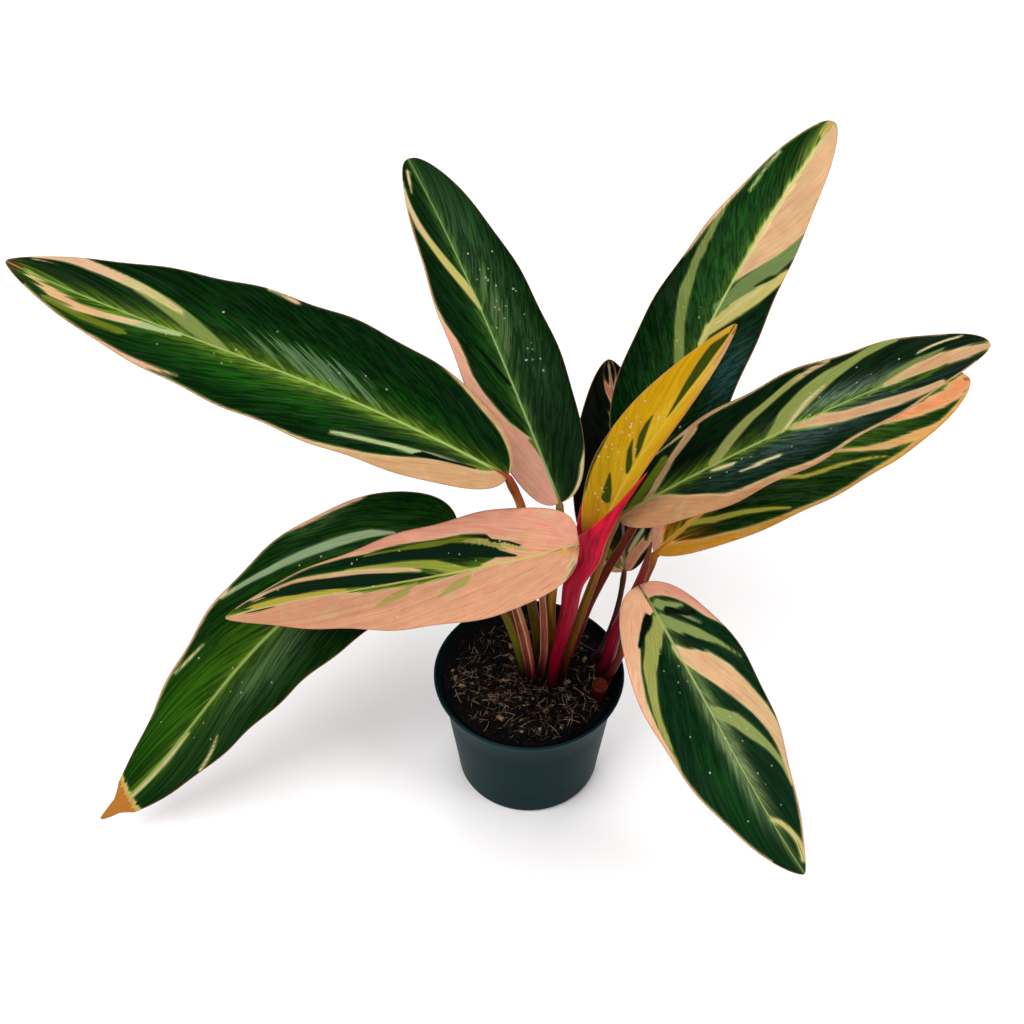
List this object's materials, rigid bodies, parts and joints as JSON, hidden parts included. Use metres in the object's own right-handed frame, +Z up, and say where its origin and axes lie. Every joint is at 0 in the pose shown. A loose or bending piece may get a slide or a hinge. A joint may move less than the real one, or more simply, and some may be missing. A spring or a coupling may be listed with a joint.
{
  "type": "potted calathea",
  "caption": "Potted calathea houseplant: long dark green leaves streaked with pink and cream on slender stalks, with rolled crimson sheaths, in a round tapered nursery pot.",
  "frame": {"origin": "centre of the pot's flat base, on the surface that the pot stands on", "axes": "+Z up; +X to the right in the pictured front view, along the plant's widest spread; the front that the picture shows faces -Y"},
  "size_m": [0.5889, 0.32, 0.3816],
  "materials": {
    "leaf": "glossy dark green blade, streaked with pink and cream, wine red beneath",
    "leaf_gold": "satin golden yellow young blade with olive strokes",
    "leaf_pink": "satin peach pink blade with green bands",
    "stalk": "satin olive brown stalk",
    "crimson": "satin crimson sheath",
    "pink": "dry pinkish brown sheath",
    "soil": "moist black potting soil with coir fibres",
    "pot": "satin dark blue-green moulded plastic"
  },
  "bodies": {
    "root": {"leaf_left_long": "leaf", "leaf_back_left": "leaf", "leaf_back_right": "leaf", "leaf_young_gold": "leaf_gold", "leaf_right_upper": "leaf", "leaf_right_lower": "leaf", "leaf_back_small": "leaf", "leaf_left_drooping": "leaf", "leaf_front_pink": "leaf_pink", "leaf_front_right": "leaf", "stalk_left_long": "stalk", "stalk_back_left": "stalk", "stalk_back_right": "stalk", "stalk_young_gold": "stalk", "stalk_right_upper": "stalk", "stalk_right_lower": "stalk", "stalk_back_small": "stalk", "stalk_left_drooping": "stalk", "stalk_front_pink": "stalk", "stalk_front_right": "stalk", "sheath_pink": "pink", "sheath_left": "pink", "sheath_crimson": "crimson", "spear_crimson": "crimson", "stub_cut": "crimson", "soil": "soil", "pot": "pot"}
  },
  "joints": []
}
